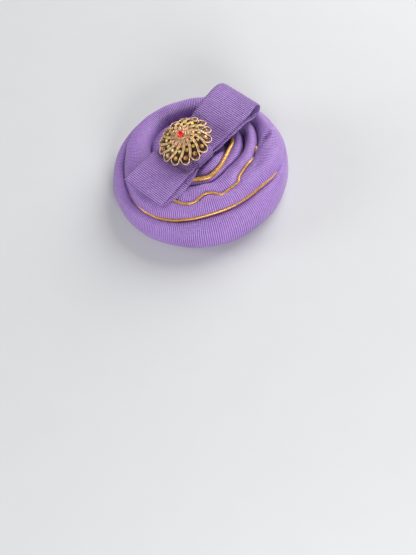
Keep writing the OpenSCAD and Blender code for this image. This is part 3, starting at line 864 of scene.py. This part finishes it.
BROOCH_AT = mm(-6.9, 4.2, 44.6)
BROOCH_SLOPE = math.radians(12.4)     # along the bow
BROOCH_LEAN = math.radians(5)         # across it
BROOCH_FRAME = (Matrix.Translation(BROOCH_AT) @ Matrix.Rotation(BOW_TURN, 4, "Z")
                @ Matrix.Rotation(-BROOCH_SLOPE, 4, "Y") @ Matrix.Rotation(-BROOCH_LEAN, 4, "X"))
BROOCH_R = 21.7
DOME_LOW, DOME_TOP = 0.5, 9.4
DOME_R = (BROOCH_R ** 2 + (DOME_TOP - DOME_LOW) ** 2) / (2 * (DOME_TOP - DOME_LOW))
PETALS = 14
PETAL_STEP = 360 / PETALS
ROOT_R, LOBE_AT, SWIRL = 4.4, 17.8, -40
STONE_ROWS = [(8.9, 1.5), (12.6, 2.2), (17, 2.7)]


def dome_z(r):
    return DOME_TOP - DOME_R + math.sqrt(DOME_R ** 2 - r * r)


def swirl_at(r):
    return SWIRL * (r - ROOT_R) / (BROOCH_R - ROOT_R)


def on_dome(r, angle, lift):
    t = math.radians(angle)
    return BROOCH_FRAME @ mm(r * math.cos(t), r * math.sin(t), dome_z(min(r, BROOCH_R)) + lift)


WRAP_HALF, WRAP_MID, WRAP_LOW, WRAP_UNDER, WRAP_W = 19.9, 0.9, 32.1, 1.1, 15.4
WRAP_ALONG = 1.4


def make_wrap():
    """Waist wrap: a soft band, level below and pressed to the brooch's slope above."""
    low = WRAP_LOW - BROOCH_AT.z / MM
    slope = math.tan(BROOCH_SLOPE)
    lean = math.tan(BROOCH_LEAN)
    h = WRAP_HALF
    corner = [(h, low + 2.4), (h, -4.2), (h - 0.5, -2.3), (h - 2, -0.8), (h - 5, -0.1), (0, 0)]
    ring = ([(-h, low + 4.4)] + [(-x, z) for x, z in corner[1:]] + [(x, z) for x, z in reversed(corner[:-1])]
            + [(h - 1.2, low + 0.7), (h - 4.5, low + 0.3), (0, low + 0.3), (5 - h, low + 1),
               (1.4 - h, low + 2.8)])
    ring = smooth([(x, z, 0) for x, z in ring], 6, True)
    n = len(ring)
    rows = []
    c, s = math.cos(BOW_TURN), math.sin(BOW_TURN)
    for i, p in enumerate(ring):
        d = (ring[(i + 1) % n] - ring[i - 1]).normalized()
        normal = Vector((d.y, -d.x, 0))
        row = []
        high = min(max((p.y + 6) / 5, 0), 1)
        for side in (1, -1):
            for k in range(17):
                u = side * WRAP_W / 2 * (k / 8 - 1)
                thin = max(0.35, min(1, 1.5 - 1.2 * abs(k / 8 - 1) ** 8))
                fold = 0.16 * math.cos(u * 1.5 + 0.5 * math.sin(p.x * 0.3))
                q = p + normal * (side * 0.45 * thin + fold)
                z = q.y - high * (WRAP_UNDER + 0.55) + high * (u * slope - (q.x + WRAP_MID) * lean)
                y = q.x + WRAP_MID
                u += WRAP_ALONG
                row.append(BROOCH_AT + mm(u * c - y * s, u * s + y * c, z))
        rows.append(row)
    piece = cloth_grid("bow_waist_band", rows, round_rows=True)
    finish_piece(piece, "bow_fabric", "bow_waist_wrap")


BEAD = 0.6          # radius of a petal's beaded wire, in millimetres
WIRE_POINTS, WIRE_SIDES = 260, 8


def petal_line():
    """The wire round one petal, in the brooch's own millimetres, as radius and angle."""
    gap = math.degrees(math.asin(BEAD * 0.95 / LOBE_AT))
    half = PETAL_STEP / 2 - gap
    side = []
    for i in range(9):
        r = ROOT_R + (LOBE_AT - ROOT_R) * i / 8
        side.append((r, half * (1 - 0.45 * (1 - i / 8) ** 2)))
    lobe = LOBE_AT * math.sin(math.radians(PETAL_STEP / 2)) - BEAD * 0.95
    middle = math.radians(swirl_at(LOBE_AT))
    end = []
    for t in range(-70, 71, 20):
        a = middle + math.radians(t - 12)
        x = LOBE_AT * math.cos(middle) + lobe * math.cos(a)
        y = LOBE_AT * math.sin(middle) + lobe * math.sin(a)
        end.append((math.hypot(x, y), math.degrees(math.atan2(y, x))))
    return [(r, swirl_at(r) - h) for r, h in side] + end + [(r, swirl_at(r) + h) for r, h in reversed(side)]


def make_petals():
    outline = petal_line()
    wires = []
    for i in range(PETALS):
        line = smooth([on_dome(r, a + i * PETAL_STEP, 0.62) for r, a in outline], 10)
        line = evenly(line, WIRE_POINTS)
        rows = []
        for j, p in enumerate(line):
            t = (line[min(j + 1, WIRE_POINTS - 1)] - line[max(j - 1, 0)]).normalized()
            a = t.cross(BROOCH_FRAME.to_3x3() @ UP).normalized()
            b = a.cross(t)
            bead = BEAD * (0.92 + 0.1 * math.cos(TURN * j / 5))
            turns = [TURN * k / WIRE_SIDES for k in range(WIRE_SIDES)]
            rows.append([p + bead * MM * (a * math.cos(turn) + b * math.sin(turn)) for turn in turns])
        wires.append(cloth_grid("petal", rows, caps=True))
    finish_piece(join("petal_wire_work", wires), "antique_gold", "petal_wires")


def join(name, pieces):
    bpy.ops.object.select_all(action="DESELECT")
    for piece in pieces:
        piece.select_set(True)
    bpy.context.view_layer.objects.active = pieces[0]
    bpy.ops.object.join()
    pieces[0].name = name
    pieces[0].data.name = name
    pieces[0].select_set(False)
    return pieces[0]


def pick_face(piece, choose):
    """In edit mode, select only the highest face or the lowest."""
    bpy.ops.mesh.select_all(action="DESELECT")
    faces = bmesh.from_edit_mesh(piece.data).faces
    choose(faces, key=lambda f: f.calc_center_median().z).select_set(True)
    bmesh.update_edit_mesh(piece.data)


def gem(name, diameter, height, facets):
    """A round cut stone: table, crown facets, girdle and a point below."""
    bpy.ops.object.select_all(action="DESELECT")
    bpy.ops.mesh.primitive_cylinder_add(vertices=facets, radius=diameter / 2 * MM, depth=height * MM)
    piece = bpy.context.object
    piece.name = name
    bpy.ops.object.mode_set(mode="EDIT")
    pick_face(piece, max)
    bpy.ops.mesh.inset(thickness=diameter * 0.11 * MM)
    bpy.ops.transform.translate(value=(0, 0, height * 0.42 * MM))
    bpy.ops.transform.rotate(value=math.pi / facets, orient_axis="Z", center_override=(0, 0, 0))
    bpy.ops.mesh.inset(thickness=diameter * 0.07 * MM)
    bpy.ops.transform.translate(value=(0, 0, height * 0.2 * MM))
    pick_face(piece, min)
    bpy.ops.transform.resize(value=(0.35, 0.35, 1))
    bpy.ops.mesh.select_all(action="SELECT")
    bpy.ops.mesh.normals_make_consistent(inside=False)
    bpy.ops.object.mode_set(mode="OBJECT")
    return piece


def put(piece, matrix):
    piece.data.transform(matrix)
    piece.matrix_world = Matrix.Identity(4)


def copies(piece, name, places):
    """One copy with its own mesh at each place, joined as one piece."""
    made = []
    for place in places:
        twin = piece.copy()
        twin.data = piece.data.copy()
        bpy.context.collection.objects.link(twin)
        put(twin, place)
        made.append(twin)
    bpy.data.objects.remove(piece)
    return join(name, made)


def stone_places(row, lift):
    r, _ = STONE_ROWS[row]
    for i in range(PETALS):
        yield (BROOCH_FRAME @ Matrix.Rotation(math.radians(i * PETAL_STEP + swirl_at(r)), 4, "Z")
               @ Matrix.Translation(mm(r, 0, dome_z(r))) @ Matrix.Rotation(math.asin(r / DOME_R), 4, "Y")
               @ Matrix.Translation(mm(0, 0, lift)))


def cup(diameter):
    """A bezel with a rolled lip."""
    bpy.ops.object.select_all(action="DESELECT")
    bpy.ops.mesh.primitive_torus_add(major_radius=(diameter / 2 + 0.14) * MM, minor_radius=0.17 * MM,
                                     major_segments=20, minor_segments=6)
    return bpy.context.object


CLAWS = 12


def make_stones():
    cups = []
    for row, (name, slot, node) in enumerate((("inner_row_stones", "amber_stone", "inner_stones"),
                                              ("middle_row_stones", "green_stone", "middle_stones"),
                                              ("tip_row_stones", "topaz_stone", "tip_stones"))):
        d = STONE_ROWS[row][1]
        stones = copies(gem("stone", d, 0.55 * d, 8), name, list(stone_places(row, 0.5)))
        finish_piece(stones, slot, node)
        cups.append(copies(cup(d), "cup_row", list(stone_places(row, 0.55))))
    finish_piece(join("stone_bezels", cups), "antique_gold", "stone_cups")
    top = BROOCH_FRAME @ Matrix.Translation(mm(0, 0, DOME_TOP + 1.9))
    stone = gem("centre_gem", 6.0, 1.7, 12)
    put(stone, top)
    finish_piece(stone, "red_stone", "centre_stone")
    bpy.ops.object.select_all(action="DESELECT")
    bpy.ops.mesh.primitive_uv_sphere_add(segments=12, ring_count=8, radius=0.42 * MM)
    claw = bpy.context.object
    out = Matrix.Translation(mm(3.35, 0, DOME_TOP + 2.2))
    beads = copies(claw, "claw_beads", [BROOCH_FRAME @ Matrix.Rotation(TURN * k / CLAWS, 4, "Z") @ out
                                        for k in range(CLAWS)])
    bpy.ops.object.select_all(action="DESELECT")
    bpy.ops.mesh.primitive_torus_add(major_radius=3.5 * MM, minor_radius=0.45 * MM, major_segments=48,
                                     minor_segments=10)
    collar = bpy.context.object
    put(collar, BROOCH_FRAME @ Matrix.Translation(mm(0, 0, DOME_TOP + 1.5)))
    finish_piece(join("stone_claws", [beads, collar]), "antique_gold", "collet_claws")


# ---- underside -------------------------------------------------------------------------

LINING_R, LINING_T = 48.8, 0.5 * MM
LINING_RINGS, LINING_SIDES = 30, 180


def make_lining():
    """Lining drawn smooth over the base, puckered a little where it is sewn at the rim."""
    low, head = 19.5, 99.0
    rows = []
    for i in range(LINING_RINGS):
        out = i / (LINING_RINGS - 1)
        r = 0.4 + (LINING_R - 0.4) * i / (LINING_RINGS - 1)
        ring = []
        for k in range(LINING_SIDES):
            t = TURN * k / LINING_SIDES
            pucker = 0.28 * math.sin(36 * t + 0.6 * math.sin(5 * t)) * out ** 5
            z = low - 1 - head + math.sqrt(head ** 2 - r * r) + pucker * 0.5 - 0.1
            ring.append(mm(r * math.cos(t), r * math.sin(t), z))
        rows.append(ring)
    piece = cloth_grid("lining_cloth", rows)
    flat_weave(piece)
    wall = piece.modifiers.new("wall", "SOLIDIFY")
    wall.thickness = LINING_T
    wall.offset = 1
    apply_modifier(piece, wall)
    finish_piece(piece, "lining", "base_lining")


def make_rim_ribbon():
    section = smooth([(48.2, 2.6, 0), (49.2, 1.2, 0), (50.6, 1.6, 0), (51.2, 3.2, 0), (50.4, 4.6, 0),
                      (48.8, 4.5, 0)], 4, True)
    rows = []
    for i in range(360):
        t = TURN * i / 360
        r_add = 0.12 * math.sin(40 * t)
        rows.append([mm((p.x + r_add) * math.cos(t), (p.x + r_add) * math.sin(t), p.y) for p in section])
    finish_piece(cloth_grid("petersham_ribbon", rows, round_rows=True, whole=RIBBON_RIB),
                 "ribbon", "rim_ribbon")


def make_comb_tape():
    half, x, z = 24.65, 40, 4.2
    rows = []
    for i in range(120):
        y = -half + 2 * half * i / 119
        pinch = 0.08 * math.cos(TURN * i / 6)
        ring = []
        for k in range(40):
            t = math.radians(-145 + 290 * (k if k < 20 else 39 - k) / 19)
            r = (1.42 if k < 20 else 1.08) + pinch * (k < 20)
            ring.append(mm(x + r * math.cos(t), y, z + r * math.sin(t)))
        rows.append(ring)
    finish_piece(cloth_grid("comb_tape_cover", rows, caps=True), "ribbon", "comb_tape")


def shrunk(row, share):
    """The same ring drawn in towards its own middle."""
    middle = sum(row, Vector()) / len(row)
    return [middle.lerp(p, share) for p in row]


def make_wadding():
    """Loose fibre inside the two closed rolls, and a padded dome under the folds."""
    for name, row, node, share in (("outer_roll_fibre", outer_row, "outer_roll_wadding", 0.78),
                                   ("second_roll_fibre", second_row, "second_roll_wadding", 0.55)):
        rows = [shrunk(ring[::3], share) for ring in rows_between(0, 360, 3, row)]
        piece = cloth_grid(name, rows, round_rows=True)
        soften(piece, 0.5, 300, 5)
        finish_piece(piece, "wadding", node)
    rows = []
    turns = [TURN * k / 90 for k in range(90)]
    for r, h in ((0.3, -0.6), (12, -0.6), (24, -0.6), (36, -0.7), (41, -1.4), (43.4, -4), (44, -7.5),
                 (44, -10)):
        rows.append([crown(r * math.cos(t), r * math.sin(t), h) for t in turns])
    for r in (43, 36, 28, 20, 12, 4, 0.3):
        z = 20.3 - 100 + math.sqrt(101.4 ** 2 - r * r)
        rows.append([mm(r * math.cos(t), r * math.sin(t), z + 0.1 + r * 0.006) for t in turns])
    piece = cloth_grid("crown_padding_fibre", rows, caps=True)
    soften(piece, 0.2, 300, 6)
    finish_piece(piece, "wadding", "crown_padding")


def make_floor():
    bpy.ops.object.select_all(action="DESELECT")
    bpy.ops.mesh.primitive_plane_add(size=6, location=(0, 0, 0))
    floor = bpy.context.object
    floor.name = "floor"
    paint = Finish("floor_paint", Roughness=0.8)
    paint.set(Base_Color=paint.mix(paint.noise(40, 4), (0.56, 0.57, 0.58), (0.58, 0.59, 0.6)))
    floor.data.materials.append(paint.material)


camera()
studio()
make_elastic()
make_floor()
dress_cad_nodes()
make_wadding()
make_rolls()
make_piping()
make_bow()
make_wrap()
make_petals()
make_stones()
make_lining()
make_rim_ribbon()
make_comb_tape()
